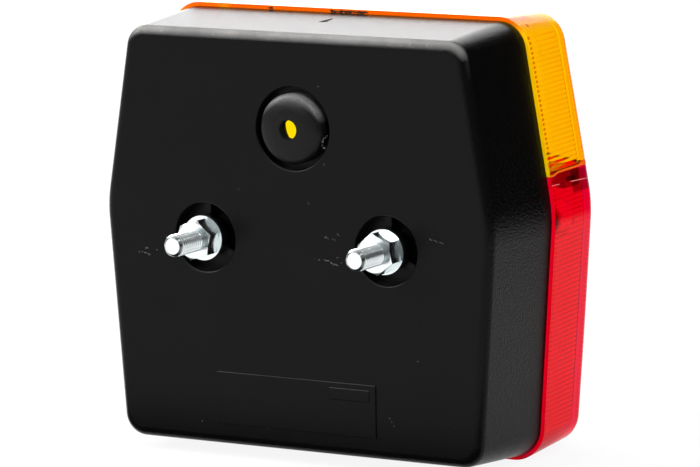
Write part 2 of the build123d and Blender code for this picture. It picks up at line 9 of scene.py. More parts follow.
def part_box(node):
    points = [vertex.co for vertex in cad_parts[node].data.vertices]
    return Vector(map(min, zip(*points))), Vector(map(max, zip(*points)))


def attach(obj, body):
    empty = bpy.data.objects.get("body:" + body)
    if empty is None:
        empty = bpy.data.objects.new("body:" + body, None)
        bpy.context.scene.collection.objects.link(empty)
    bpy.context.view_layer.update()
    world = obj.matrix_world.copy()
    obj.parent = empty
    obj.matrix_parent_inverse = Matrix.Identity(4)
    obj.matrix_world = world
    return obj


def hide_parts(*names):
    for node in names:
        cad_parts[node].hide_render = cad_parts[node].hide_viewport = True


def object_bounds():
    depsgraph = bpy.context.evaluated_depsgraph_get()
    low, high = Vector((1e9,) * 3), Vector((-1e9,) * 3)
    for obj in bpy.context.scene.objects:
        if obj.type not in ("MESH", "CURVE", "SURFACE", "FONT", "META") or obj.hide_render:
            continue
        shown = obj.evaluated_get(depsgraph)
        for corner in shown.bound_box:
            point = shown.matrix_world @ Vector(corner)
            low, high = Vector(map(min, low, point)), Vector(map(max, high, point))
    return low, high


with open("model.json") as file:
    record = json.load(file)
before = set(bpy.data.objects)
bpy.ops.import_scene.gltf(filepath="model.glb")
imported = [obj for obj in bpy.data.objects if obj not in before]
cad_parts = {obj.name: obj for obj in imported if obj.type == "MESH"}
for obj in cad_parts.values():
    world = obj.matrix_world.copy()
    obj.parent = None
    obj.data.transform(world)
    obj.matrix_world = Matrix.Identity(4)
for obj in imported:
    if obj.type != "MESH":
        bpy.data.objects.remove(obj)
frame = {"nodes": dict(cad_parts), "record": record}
cad_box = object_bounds()
nodes = frame["nodes"]
mounts = {mount["name"]: mount for mount in frame["record"]["mounts"]}
MM = 0.001


# Sizes from the record's mounts, in metres

STUD_SPACING = mounts["mounting_studs"]["dims"]["spacing_x_mm"] * MM
STUD_RADIUS = mounts["mounting_studs"]["dims"]["stud_r_mm"] * MM
CABLE_HEIGHT = mounts["cable_entry"]["pos_m"][2]
CABLE_RADIUS = mounts["cable_entry"]["dims"]["r_mm"] * MM

# The rear face's outline and the lens, in millimetres; depth counts from the rear face

KINK_HALF_WIDTH = 49.1
KINK_HEIGHT = 6.3
TOP_HALF_WIDTH = 42.3
TOP_HEIGHT = 46.3
BOTTOM_HALF_WIDTH = 45.3
BOTTOM_HEIGHT = -46.4
BASE_FLARE = 1.9
SEAM = 24.5
LENS_LIP = 0.9
LENS_DEPTH = 22.4
LENS_SHRINK = 1.2
DIVIDER_HEIGHT = 12.0
BORDER_HEIGHT = 14.7
FLUTE_PITCH = 1.05
FLUTE_START = 28.0
BLOCK_START = 34.5
RIM_START = 40.3
EDGE_START = 42.7

UPPER_SLOPE = (KINK_HALF_WIDTH - TOP_HALF_WIDTH) / (TOP_HEIGHT - KINK_HEIGHT)
LOWER_SLOPE = (KINK_HALF_WIDTH - BOTTOM_HALF_WIDTH) / (KINK_HEIGHT - BOTTOM_HEIGHT)
UPPER_COSINE = math.cos(math.atan(UPPER_SLOPE))
LOWER_COSINE = math.cos(math.atan(LOWER_SLOPE))
UPPER_MIDDLE = (TOP_HEIGHT + KINK_HEIGHT) / 2
LOWER_MIDDLE = (KINK_HEIGHT + BOTTOM_HEIGHT) / 2
LENS_LEAN = LENS_SHRINK / LENS_DEPTH
LENS_OUT = (BASE_FLARE + LENS_LIP) / UPPER_COSINE

# Colours, linear

BLACK_LOW = (0.001, 0.001, 0.0011)
BLACK_HIGH = (0.0018, 0.0018, 0.0019)
# Grey wear and a painted sheen on the fillet under the top wall, and specks in it
WEAR_AND_SHEEN_GREY = (0.2, 0.197, 0.193)
WEAR_AND_SHEEN_SPECK = (0.3, 0.25, 0.2)
PALE_DIVIDER = (0.8, 0.8, 0.8)
# Deeper orange on the top lip's left end: painted shade for light crossing more plastic
TOP_LIP = (1.0, 0.16, 0.0)
# Painted shade on the lens, a band at the divider's height and a block on the side walls, for the
# dark divider seen through it
RIB_SHADE = (0.2, 0.0, 0.02)
BLOCK_SHADE = (0.2, 0.0, 0.02)
ZINC = (0.78, 0.83, 0.84)
# Painted shade in the roots of the stud threads
THREAD_ROOT_SHADE = (0.12, 0.13, 0.13)
TINNED_STEEL = (0.66, 0.67, 0.68)
BRASS = (0.75, 0.55, 0.24)
CAP_BRASS = (0.76, 0.58, 0.28)
FILAMENT = (0.35, 0.35, 0.36)
BOARD_DARK = (0.11, 0.05, 0.02)
BOARD_LIGHT = (0.22, 0.11, 0.05)
BULB_GLASS = (0.97, 0.98, 0.98)
RUBBED = (0.11, 0.11, 0.11)
DARK_MARK = (0.025, 0.02, 0.014)
JOINT_RED = (0.95, 0.14, 0.0)
PARTING_PINK = (1.0, 0.22, 0.24)
FLOOR_GREY = (0.8, 0.8, 0.8)
CARD_BLACK = (0.01, 0.01, 0.01)
WHITE = (1.0, 1.0, 1.0)
# Lens colours: land, flute and dot are painted light and shade for the flutes' refraction; rim and
# edge are painted shade toward the front edges
AMBER_LENS = {
    "colour": (1.0, 0.89, 0.02), "land": (1.0, 0.92, 0.02), "flute": (0.96, 0.5, 0.0),
    "dot": (0.5, 0.1, 0.0), "rim": (1.0, 0.38, 0.0), "edge": (0.85, 0.12, 0.0),
    "lip": (1.0, 0.76, 0.0), "joint": (1.0, 0.4, 0.0),
    "absorbed": (0.996, 0.9056, 0.0), "density": 900.0, "bend": 1.1,
}
RED_LENS = {
    "colour": (1.0, 0.045, 0.2), "land": (1.0, 0.035, 0.13), "flute": (0.65, 0.02, 0.06),
    "dot": (0.7, 0.02, 0.07), "rim": (0.9, 0.02, 0.03), "edge": (0.75, 0.02, 0.04),
    "lip": (1.0, 0.0, 0.02), "joint": (0.8, 0.02, 0.02),
    "absorbed": (0.9556, 0.0, 0.722), "density": 900.0, "bend": 1.08,
}

# Gloss and grain; grain sizes and heights are in millimetres

NOISE_SPREAD = (0.3, 0.7)
NOISE_CORE = (0.35, 0.65)
PLASTIC_CLOUD = 14.0
PLASTIC_GRAIN = 0.55
PLASTIC_GRAIN_ROUGH = 0.6
PLASTIC_GRAIN_HEIGHT = 0.12
REAR_GRAIN_SHARE = 0.35
TOP_GRAIN_SHARE = 0.4
SPECK_SIZE = 0.8
SPECK_SHARE = 0.5
WALL_ROUGH = 0.2
REAR_ROUGH = 0.3
PLASTIC_SPECULAR = 0.1
LENS_CLOUD = 6.0
LENS_CLOUD_SHADE = (1.0, 0.94, 0.94)
LENS_GLOSS_SIZE = 3.0
LENS_ROUGH = (0.13, 0.18)
LENS_COAT = (0.04, 0.6)
COAT_ROUGH = 0.04
COAT_BEND = 1.49
PAINTED_SOLID = 0.7
METAL_SPOT = 1.2
METAL_DULL = 0.92
METAL_ROUGH_SPREAD = (-0.03, 0.04)
ZINC_ROUGH = 0.19
THREAD_ROUGH = 0.22
STEEL_ROUGH = 0.3
CAP_ROUGH = 0.28
FILAMENT_ROUGH = 0.4
RUBBER_GRAIN = 0.3
RUBBER_GRAIN_STRENGTH = 0.15
RUBBER_GRAIN_HEIGHT = 0.03
RUBBER_LIGHT = 1.5
RUBBER_ROUGH_SPREAD = (-0.05, 0.08)
RUBBER_SPECULAR = 0.12
BORE_ROUGH = 0.95
SEAL_LEVEL = 0.02
SEAL_ROUGH = 0.7
GROMMET_LEVEL = 0.003
GROMMET_ROUGH = 0.3
# Grey for dust and a painted sheen on the grommet's upper side
GROMMET_DUST_AND_SHEEN = 0.12
BOARD_SPOT = 0.8
BOARD_ROUGH = 0.6
GLASS_BEND = 1.45
GLASS_CLOUD = 5.0
GLASS_ROUGH = (0.0, 0.02)
MARK_SPOT = 0.3
MARK_SHADE = 0.6
RUBBED_ROUGH = 0.7
DARK_MARK_ROUGH = 0.9
BEAD_ROUGH = 0.3

# Masks: where each is 0 and where it is 1, by the normal, by place in millimetres or by noise

# Where the wear and painted sheen go: facing up and back, near the top
WEAR_AND_SHEEN_UP = (0.12, 0.7)
WEAR_AND_SHEEN_BACK = (0.12, 0.4)
WEAR_AND_SHEEN_HEIGHT = (38.0, 42.0)
WEAR_AND_SHEEN_LOW_SHARE = 0.08
WEAR_AND_SHEEN_CLOUD_SHARE = 0.6
SPECKS = (0.62, 0.72)
REAR_FACE = (0.5, 0.95)
TOP_FACE = (0.5, 0.95)
PALE_OFF = (2.6, 2.4)
PALE_DEPTH = (25.5, 26.0)
OUTER_WALL = (1.4, 1.9)
INNER_WALL = (1.9, 1.4)
INNER_LIMIT = (0.0, 0.3)
# Painted light and shade for the flutes' refraction: a land before them, lines along their roots
# and dots where they start
LAND_END = (FLUTE_START + 0.2, FLUTE_START - 0.2)
LINE_GAP = (0.2, 0.08)
LINE_START = (FLUTE_START, FLUTE_START + 0.6)
LINE_GROWTH = (30.0, 39.0)
LINE_FAINT = 0.25
DOT_GAP = (0.36, 0.22)
DOT_START = (FLUTE_START - 0.3, FLUTE_START - 0.1)
DOT_END = (FLUTE_START + 1.0, FLUTE_START + 0.7)
# Painted shade toward the lens's front edges: off the front face, near the front, and where the
# walls turn
OFF_FRONT = (-0.9, -0.6)
RIM_DEPTH = (RIM_START, RIM_START + 0.5)
EDGE_DEPTH = (EDGE_START, EDGE_START + 0.3)
EDGE_TURN = (-0.07, -0.2)
# Where the divider's painted shade goes on the lens
RIB_OFF = (0.45, 0.35)
RIB_WALL = (0.3, 0.1)
RIB_DEPTH = (43.4, 43.0)
BLOCK_OFF = (2.6, 2.3)
BLOCK_DEPTH = (BLOCK_START, BLOCK_START + 0.5)
BORDER_OFF = (0.7, 0.5)
BORDER_FACE = (0.6, 0.8)
LIP_SIDES = (41.0, 46.0)
LIP_LEFT = (30.0, 34.0)
LIP_FACE = (0.5, 0.8)
LIP_DEPTH = (SEAM + 0.7, SEAM + 0.3)
# Where the top lip's painted shade goes
TOP_LIP_HEIGHT = (45.5, 47.5)
COAT_FACE = (-0.3, -0.7)
# Painted shade in the thread roots, and not on the stud's end face
THREAD_DEEP = (STUD_RADIUS - 0.08 * MM, STUD_RADIUS - 0.3 * MM)
THREAD_SIDE = (0.95, 0.8)
BORE_WALL = (CABLE_RADIUS + 0.4 * MM, CABLE_RADIUS + 0.2 * MM)
# Where the dust and painted sheen go: facing up
DUST_AND_SHEEN_UP = (0.2, 0.5)
DUST_AND_SHEEN_SHARE = 0.5

# Pieces of the scene: edges turning more than this stay sharp

SHARP_ANGLE = math.radians(35)

# Studs

SHANK_RADIUS = 2.25 * MM
STUD_CHAMFER = 0.7 * MM
STUD_SIDES = 72
THREAD_PITCH = 0.8 * MM
THREAD_DEPTH = 0.46 * MM
THREAD_STEP = 0.05 * MM
THREAD_IN_NUT = 1.0 * MM
ROOT_SHARE = 0.25
FLANK_SHARE = 0.625
HEAD_ACROSS = 8.0 * MM
HEAD_THICKNESS = 3.5 * MM

# Scuffs and dark marks

SCUFF_SEED = 7
CHIP_RISE = 0.03 * MM
CHIP_SINK = 0.4
CHIP_STEP = 0.32 * MM
CHIP_CROWDING = 1.6
CHIP_LENGTH = (0.12 * MM, 0.3 * MM)
CHIP_WIDTH = (0.08 * MM, 0.16 * MM)
CHIP_SPREAD = 0.18 * MM
CHIP_TURN = 25

SEAM_MARK_SEED = 11
SEAM_MARK_RUNS = ((4.0, -5.4, 150), (20.4, 19.1, 10))
SEAM_MARK_HEIGHT = (0.1, 0.5)
SEAM_MARK_LENGTH = (0.15, 0.4)
SEAM_MARK_WIDTH = (0.08, 0.2)
TOP_SEAM = 48.2

TICK_START = (0.25, -14.07, 47.4)
TICK_END = (-0.06, -17.92, 47.7)
TICK_CHIPS = 12
TICK_OVERLAP = 1.2
TICK_WIDTH = 1.6
TICK_TAPER = 0.1
TICK_RISE = 2.0 * CHIP_RISE

# Scuffs on the rear face: from X, Z to X, Z in millimetres, and how full of chips each is

SCUFFS = (
    (39.0, -3.4, 37.7, -3.5, 1.0), (39.1, -4.4, 37.4, -5.1, 1.2), (41.0, -4.6, 39.1, -4.5, 0.4),
    (35.8, -3.6, 35.6, -3.6, 1.0),
    (-7.4, 2.2, -8.8, 1.8, 0.7), (-9.6, 1.9, -10.5, 1.5, 0.7), (-10.7, 3.0, -11.6, 2.8, 0.5),
    (-4.7, -3.0, -6.4, -3.0, 0.6), (-7.2, -3.0, -9.0, -3.1, 1.0), (-9.2, -3.4, -10.2, -4.0, 1.6),
    (-10.2, -3.7, -11.2, -3.9, 1.4), (-10.9, -2.2, -11.0, -2.2, 1.0),
    (-11.7, -3.2, -11.8, -3.2, 1.0),
    (-33.8, 3.5, -35.3, 3.1, 1.0), (-35.5, 3.0, -37.7, 2.5, 0.6),
    (-23.1, -36.8, -24.6, -38.4, 0.5), (8.0, -42.0, 7.2, -42.0, 0.6),
    (-8.8, 24.5, -7.9, 23.7, 0.6), (-7.9, 23.7, -7.4, 22.6, 0.6), (-7.4, 22.6, -7.7, 21.7, 0.6),
    (-7.7, 21.7, -8.4, 22.0, 0.5),
    (-3.7, 9.2, -3.8, 9.2, 1.0), (14.2, 11.3, 14.1, 11.3, 1.0), (-6.7, 35.1, -6.8, 35.1, 1.0),
    (-7.9, 18.0, -8.0, 18.0, 1.0), (25.0, -41.6, 24.8, -41.6, 1.0),
    (-30.4, -23.6, -30.5, -23.6, 1.0),
)

# Beads on the lens's side walls, in millimetres: runs of depth, height and swelling

BEAD_RISE = 0.03
BEAD_SINK = 0.05
BEAD_TOP = 0.4
JOINT_HEIGHT = 15.0
JOINT_DIP = 0.4
JOINT_HALF = 0.28
JOINT_SWELL = 3.0
PARTING_HALF = 0.11
BEAD_START = SEAM + 0.1
JOINT_RUNS = (
    ((BEAD_START, JOINT_HEIGHT - JOINT_DIP, 1.0),
     (SEAM + 2.0, JOINT_HEIGHT - JOINT_DIP, 1.0),
     (SEAM + 4.0, JOINT_HEIGHT, 1.0),
     (EDGE_START - 3.0, JOINT_HEIGHT, 1.0),
     (EDGE_START - 1.5, JOINT_HEIGHT, JOINT_SWELL),
     (EDGE_START + 0.7, JOINT_HEIGHT, JOINT_SWELL)),
)
PARTING_RUNS = (
    ((BEAD_START, 12.6, 1.0), (SEAM + 4.0, 12.4, 1.0)),
    ((SEAM + 9.8, 12.2, 1.0), (EDGE_START + 0.3, 11.75, 1.0)),
)

# Bare plates on the rear face: corners in X, Z

PLATE_SINK = 0.05 * MM
PLATE_BEVEL = 0.12 * MM
PANEL_LOW = (-20.0 * MM, -41.7 * MM)
PANEL_HIGH = (20.5 * MM, -29.9 * MM)
PANEL_HEIGHT = 0.3 * MM
MARK_LOW = (-18.5 * MM, -33.75 * MM)
MARK_HIGH = (-8.3 * MM, -31.1 * MM)
MARK_HEIGHT = 0.15 * MM

# Stage, in metres, degrees and watts

FLOOR_SIZE = 8.0
FLOOR_DROP = 0.0002
FLOOR_ROUGH = 0.9
FLOOR_GLOW = 0.9
REFLECTED_FLOOR = 0.6
REFLECTED_ROOM = 0.35
ROOM_LIGHT = 0.03
FLAG_START = 115.0
FLAG_END = 255.0
FLAG_STEPS = 12
FLAG_RADIUS = 0.36
FLAG_HEIGHT = 0.4
CARD_HALF_WIDTH = 0.1
CARD_REACH = 0.03
CARD_DROP = 0.0001
LAMP_AIM = Vector((0.0, -0.02, 0.0))
SOFTBOXES = (
    ("back_softbox", (0.62, -1.05, 0.45), 1.4, 1.1, 14.3),
    ("top_softbox", (0.48, 0.08, 0.92), 0.9, 1.6, 16.0),
    ("key_softbox", (0.75, 0.85, 0.55), 1.3, 0.5, 12.0),
    ("left_softbox", (0.88, 0.25, 0.66), 0.5, 0.5, 4.0),
    ("right_softbox", (-0.75, 0.55, 0.75), 0.6, 0.6, 12.0),
)
CAMERA_PLACE = (-0.527144, 0.880544, 0.170525)
CAMERA_TURN = (80.6816, 0.9769, -149.9353)
CAMERA_LENS = 244.345
CAMERA_SENSOR = 36.0


# Node helpers

def new_material(name):
    """A material with one Principled shader: the material, its node tree and the shader."""
    material = bpy.data.materials.new(name)
    material.use_nodes = True
    tree = material.node_tree
    return material, tree, tree.nodes["Principled BSDF"]


def node(tree, kind, **settings):
    """Adds a node and sets its properties and, by socket name with _ for spaces, its inputs."""
    made = tree.nodes.new(kind)
    for key, value in settings.items():
        if hasattr(made, key):
            setattr(made, key, value)
        else:
            made.inputs[key.replace("_", " ")].default_value = value
    return made


def feed(tree, shader, **values):
    """Sets a shader's inputs, by name with _ for spaces, to sockets, colours or numbers."""
    for key, value in values.items():
        socket = shader.inputs[key.replace("_", " ")]
        if isinstance(value, tuple):
            socket.default_value = (*value, 1.0)
        elif isinstance(value, float):
            socket.default_value = value
        else:
            tree.links.new(value, socket)


def place(tree):
    """Object coordinates, which are metres in the lamp's own frame."""
    return node(tree, "ShaderNodeTexCoord").outputs["Object"]


def noise(tree, where, size_mm, detail=3.0, roughness=0.5):
    """Noise with features of about that size."""
    scale = 1.0 / (size_mm * MM)
    made = node(tree, "ShaderNodeTexNoise", Scale=scale, Detail=detail, Roughness=roughness)
    tree.links.new(where, made.inputs["Vector"])
    return made.outputs["Fac"]


def span(tree, value, low, high, out_low=0.0, out_high=1.0):
    """Maps low..high to out_low..out_high, clamped."""
    made = node(tree, "ShaderNodeMapRange", From_Min=low, From_Max=high,
                To_Min=out_low, To_Max=out_high)
    tree.links.new(value, made.inputs["Value"])
    return made.outputs["Result"]


def mix_colour(tree, factor, first, second):
    """Blends two colours, each a socket or three numbers, by a factor."""
    made = node(tree, "ShaderNodeMix", data_type="RGBA")
    tree.links.new(factor, made.inputs[0])
    sockets = [socket for socket in made.inputs if socket.type == "RGBA"]
    for socket, value in zip(sockets, (first, second)):
        if isinstance(value, tuple):
            socket.default_value = (*value, 1.0)
        else:
            tree.links.new(value, socket)
    return made.outputs[2]


def maths(tree, operation, first, second=0.0):
    """A Math node over sockets or numbers."""
    made = node(tree, "ShaderNodeMath", operation=operation)
    for socket, value in zip(made.inputs, (first, second)):
        if isinstance(value, float):
            socket.default_value = value
        else:
            tree.links.new(value, socket)
    return made.outputs[0]


def product(tree, *factors):
    """Several sockets or numbers multiplied together."""
    result = factors[0]
    for factor in factors[1:]:
        result = maths(tree, "MULTIPLY", result, factor)
    return result


def most(tree, *values):
    """The largest of several sockets or numbers."""
    result = values[0]
    for value in values[1:]:
        result = maths(tree, "MAXIMUM", result, value)
    return result


def off(tree, value, middle=0.0):
    """Distance from a middle value, either way."""
    return maths(tree, "ABSOLUTE", maths(tree, "SUBTRACT", value, middle))


def length(tree, first, second):
    """Length of two components at right angles."""
    squares = maths(tree, "ADD", product(tree, first, first), product(tree, second, second))
    return maths(tree, "SQRT", squares)


def axes(tree, vector, scale=1.0):
    """The three components of a vector socket, each times a scale."""
    split = node(tree, "ShaderNodeSeparateXYZ")
    tree.links.new(vector, split.inputs[0])
    return [maths(tree, "MULTIPLY", split.outputs[k], scale) for k in range(3)]


def facing(tree):
    """The three components of the surface's own normal."""
    return axes(tree, node(tree, "ShaderNodeNewGeometry").outputs["Normal"])


def bump(tree, height, strength, distance_mm):
    """Bump normal from a height."""
    made = node(tree, "ShaderNodeBump", Strength=strength, Distance=distance_mm * MM)
    tree.links.new(height, made.inputs["Height"])
    return made.outputs["Normal"]


# Materials

def base_plastic():
    """Black moulded plastic with a fine grain, grey wear and a painted sheen along the edge
    under the top wall, and a pale divider inside."""
    material, tree, shader = new_material("black_plastic")
    where = place(tree)
    y, height = axes(tree, where, 1.0 / MM)[1:]
    back, up = facing(tree)[1:]
    cloud = noise(tree, where, PLASTIC_CLOUD, detail=4.0)
    grain = noise(tree, where, PLASTIC_GRAIN, roughness=PLASTIC_GRAIN_ROUGH)
    specks = span(tree, noise(tree, where, SPECK_SIZE, detail=2.0), *SPECKS)
    # Grey wear and a painted sheen on the fillet under the top wall, where it faces up and back
    wear_and_sheen = product(tree, span(tree, up, *WEAR_AND_SHEEN_UP), span(tree, back, *WEAR_AND_SHEEN_BACK),
                   span(tree, height, *WEAR_AND_SHEEN_HEIGHT, WEAR_AND_SHEEN_LOW_SHARE, 1.0),
                   span(tree, cloud, *NOISE_CORE, WEAR_AND_SHEEN_CLOUD_SHARE, 1.0))
    pale = product(tree, span(tree, off(tree, height, DIVIDER_HEIGHT), *PALE_OFF),
                   span(tree, product(tree, y, -1.0), *PALE_DEPTH))
    colour = mix_colour(tree, cloud, BLACK_LOW, BLACK_HIGH)
    for mask, paint in ((wear_and_sheen, WEAR_AND_SHEEN_GREY),
                        (product(tree, wear_and_sheen, specks, SPECK_SHARE), WEAR_AND_SHEEN_SPECK),
                        (pale, PALE_DIVIDER)):
        colour = mix_colour(tree, mask, colour, paint)
    rear = span(tree, back, *REAR_FACE)
    rise = product(tree, grain, span(tree, rear, 0.0, 1.0, 1.0, REAR_GRAIN_SHARE),
                   span(tree, up, *TOP_FACE, 1.0, TOP_GRAIN_SHARE))
    feed(tree, shader, Base_Color=colour, Specular_IOR_Level=PLASTIC_SPECULAR,
         Roughness=span(tree, rear, 0.0, 1.0, WALL_ROUGH, REAR_ROUGH),
         Normal=bump(tree, rise, 1.0, PLASTIC_GRAIN_HEIGHT))
    return material


def wall_place(tree, x, z, depth):
    """How far a point stands outside the rear face's slanted sides, with the lens's lean undone."""
    upper = product(tree, maths(tree, "SUBTRACT", z, KINK_HEIGHT), UPPER_SLOPE)
    lower = product(tree, maths(tree, "SUBTRACT", KINK_HEIGHT, z), LOWER_SLOPE)
    outward = maths(tree, "SUBTRACT", off(tree, x), KINK_HALF_WIDTH)
    lean = product(tree, maths(tree, "SUBTRACT", depth, SEAM), LENS_LEAN)
    return maths(tree, "ADD", maths(tree, "ADD", outward, most(tree, upper, lower)), lean)


def flute_gap(tree, z):
    """Distance from the nearest flute's root on the side walls, in flute pitches."""
    upper = product(tree, maths(tree, "SUBTRACT", z, UPPER_MIDDLE),
                    1.0 / (FLUTE_PITCH * UPPER_COSINE))
    lower = product(tree, maths(tree, "SUBTRACT", z, LOWER_MIDDLE),
                    1.0 / (FLUTE_PITCH * LOWER_COSINE))
    lower = maths(tree, "ADD", lower, 0.5)
    above = maths(tree, "GREATER_THAN", z, KINK_HEIGHT)
    below = maths(tree, "SUBTRACT", 1.0, above)
    count = maths(tree, "ADD", product(tree, upper, above), product(tree, lower, below))
    return maths(tree, "PINGPONG", count, 0.5)


def lens_plastic(name, colour, land, flute, dot, rim, edge, lip, joint, absorbed, density, bend):
    """Coloured clear lens plastic: a tinted surface over a body that takes up colour, with painted
    light and shade for the flutes, the front edges and the divider behind.
    """
    material, tree, shader = new_material(name)
    where = place(tree)
    x, y, z = axes(tree, where, 1.0 / MM)
    depth = product(tree, y, -1.0)
    back, up = facing(tree)[1:]
    wall = wall_place(tree, x, z, depth)
    outside = span(tree, wall, *OUTER_WALL)
    inside = product(tree, span(tree, wall, *INNER_WALL), span(tree, wall, *INNER_LIMIT))
    off_front = span(tree, back, *OFF_FRONT)
    off_divider = off(tree, z, DIVIDER_HEIGHT)
    gap = flute_gap(tree, z)

    # Painted shade for the flutes' refraction: dark lines along their roots, growing toward the
    # front, and dark dots where they start
    painted_flute_lines = product(tree, span(tree, gap, *LINE_GAP), span(tree, depth, *LINE_START),
                    span(tree, depth, *LINE_GROWTH, LINE_FAINT, 1.0))
    painted_flute_dots = product(tree, span(tree, gap, *DOT_GAP), span(tree, depth, *DOT_START),
                   span(tree, depth, *DOT_END))
    # Where the walls turn to the front, for painted shade
    turn = most(tree, span(tree, back, *EDGE_TURN),
                product(tree, outside, span(tree, depth, *EDGE_DEPTH)))
    # Painted shade: the lens's inside at the divider's height made dark and opaque, part of the
    # dark divider block seen through the lens
    rib = product(tree, span(tree, off_divider, *RIB_OFF), span(tree, wall, *RIB_WALL),
                  span(tree, depth, *RIB_DEPTH))
    # Painted shade: a dark block on the side walls for the divider's end seen through the lens
    block = product(tree, outside, span(tree, off_divider, *BLOCK_OFF),
                    span(tree, depth, *BLOCK_DEPTH))
    border = product(tree, span(tree, off(tree, z, BORDER_HEIGHT), *BORDER_OFF),
                     span(tree, off(tree, up), *BORDER_FACE))
    sides = most(tree, span(tree, off(tree, x), *LIP_SIDES), span(tree, x, *LIP_LEFT))
    seam = product(tree, span(tree, back, *LIP_FACE), span(tree, depth, *LIP_DEPTH), sides)

    cloud = noise(tree, where, LENS_CLOUD, detail=4.0)
    dimmed = tuple(c * k for c, k in zip(colour, LENS_CLOUD_SHADE))
    shade = mix_colour(tree, cloud, dimmed, colour)
    # Painted over the lens colour: light and shade for the flutes, shade toward the front edges and
    # for the divider seen behind, then the joint and the lips
    for mask, paint in (
            # Painted light and shade for the flutes: the land before them, lines along their roots,
            # dots where they start
            (product(tree, outside, span(tree, depth, *LAND_END)), land),
            (product(tree, inside, painted_flute_lines), flute),
            (product(tree, inside, painted_flute_dots), dot),
            # Painted shade: deeper colour near the front and where the walls turn to it
            (product(tree, outside, span(tree, depth, *RIM_DEPTH), off_front), rim),
            (product(tree, turn, off_front), edge),
            (rib, RIB_SHADE),
            (block, BLOCK_SHADE),
            (border, joint),
            (seam, lip),
            # Painted shade: deeper orange on the top lip's left end
            (product(tree, seam, span(tree, z, *TOP_LIP_HEIGHT)), TOP_LIP)):
        shade = mix_colour(tree, mask, shade, paint)

    solid = most(tree, product(tree, seam, PAINTED_SOLID),
                 product(tree, border, PAINTED_SOLID), rib)
    gloss = noise(tree, where, LENS_GLOSS_SIZE)
    feed(tree, shader, Base_Color=shade, IOR=bend,
         Transmission_Weight=maths(tree, "SUBTRACT", 1.0, solid),
         Roughness=span(tree, gloss, *NOISE_SPREAD, *LENS_ROUGH),
         Coat_Weight=span(tree, back, *COAT_FACE, *LENS_COAT),
         Coat_Roughness=COAT_ROUGH, Coat_IOR=COAT_BEND)
    body = node(tree, "ShaderNodeVolumeAbsorption", Density=density)
    feed(tree, body, Color=absorbed)
    tree.links.new(body.outputs[0], tree.nodes["Material Output"].inputs["Volume"])
    return material


def metal(name, colour, rough):
    """Plated metal with a slightly uneven gloss."""
    material, tree, shader = new_material(name)
    spots = noise(tree, place(tree), METAL_SPOT, detail=4.0)
    dull = tuple(METAL_DULL * c for c in colour)
    gloss = [rough + spread for spread in METAL_ROUGH_SPREAD]
    feed(tree, shader, Base_Color=mix_colour(tree, spots, dull, colour), Metallic=1.0,
         Roughness=span(tree, spots, *NOISE_SPREAD, *gloss))
    return material


def threaded_metal(name, colour, root, rough):
    """Plated metal with painted shade in the roots of the stud threads."""
    material = metal(name, colour, rough)
    tree = material.node_tree
    shader = tree.nodes["Principled BSDF"]
    x, _, z = axes(tree, place(tree))
    sideways = maths(tree, "SUBTRACT", off(tree, x), STUD_SPACING / 2)
    # Painted shade: darker in the thread roots, not on the stud's end face
    deep = product(tree, span(tree, length(tree, sideways, z), *THREAD_DEEP),
                   span(tree, facing(tree)[1], *THREAD_SIDE))
    plain = shader.inputs["Base Color"].links[0].from_socket
    feed(tree, shader, Base_Color=mix_colour(tree, deep, plain, root))
    return material


def rubber(name, level, rough, dust_and_sheen=0.0):
    """Black rubber with a fine grain, dust and a painted sheen where it faces up, and a dull cable
    bore.
    """
    material, tree, shader = new_material(name)
    where = place(tree)
    grain = noise(tree, where, RUBBER_GRAIN)
    plain = mix_colour(tree, grain, (level,) * 3, (RUBBER_LIGHT * level,) * 3)
    x, _, z = axes(tree, where)
    off_axis = length(tree, x, maths(tree, "SUBTRACT", z, CABLE_HEIGHT))
    bore = span(tree, off_axis, *BORE_WALL)
    # Dust and a painted sheen: lighter where the rubber faces up, outside the cable bore
    dust_and_sheen_mask = product(tree, span(tree, facing(tree)[2], *DUST_AND_SHEEN_UP),
                    span(tree, grain, *NOISE_CORE, DUST_AND_SHEEN_SHARE, 1.0),
                    maths(tree, "SUBTRACT", 1.0, bore))
    gloss = [rough + spread for spread in RUBBER_ROUGH_SPREAD]
    rubbed = span(tree, grain, *NOISE_SPREAD, *gloss)
    feed(tree, shader, Base_Color=mix_colour(tree, dust_and_sheen_mask, plain, (max(dust_and_sheen, level),) * 3),
         Roughness=most(tree, rubbed, product(tree, bore, BORE_ROUGH)),
         Specular_IOR_Level=RUBBER_SPECULAR,
         Normal=bump(tree, grain, RUBBER_GRAIN_STRENGTH, RUBBER_GRAIN_HEIGHT))
    return material


def board():
    """Brown laminate board."""
    material, tree, shader = new_material("laminate_board")
    cloud = noise(tree, place(tree), BOARD_SPOT, detail=5.0)
    feed(tree, shader, Base_Color=mix_colour(tree, cloud, BOARD_DARK, BOARD_LIGHT),
         Roughness=BOARD_ROUGH)
    return material


def glass():
    """Clear bulb glass."""
    material, tree, shader = new_material("bulb_glass")
    cloud = noise(tree, place(tree), GLASS_CLOUD)
    feed(tree, shader, Base_Color=BULB_GLASS, Transmission_Weight=1.0, IOR=GLASS_BEND,
         Roughness=span(tree, cloud, *NOISE_SPREAD, *GLASS_ROUGH))
    return material


def mark_material(name, colour, rough):
    """Rubbed or dark-marked plastic, with an uneven tone."""
    material, tree, shader = new_material(name)
    spots = noise(tree, place(tree), MARK_SPOT)
    dark = tuple(MARK_SHADE * c for c in colour)
    feed(tree, shader, Base_Color=mix_colour(tree, spots, dark, colour), Roughness=rough,
         Specular_IOR_Level=PLASTIC_SPECULAR)
    return material


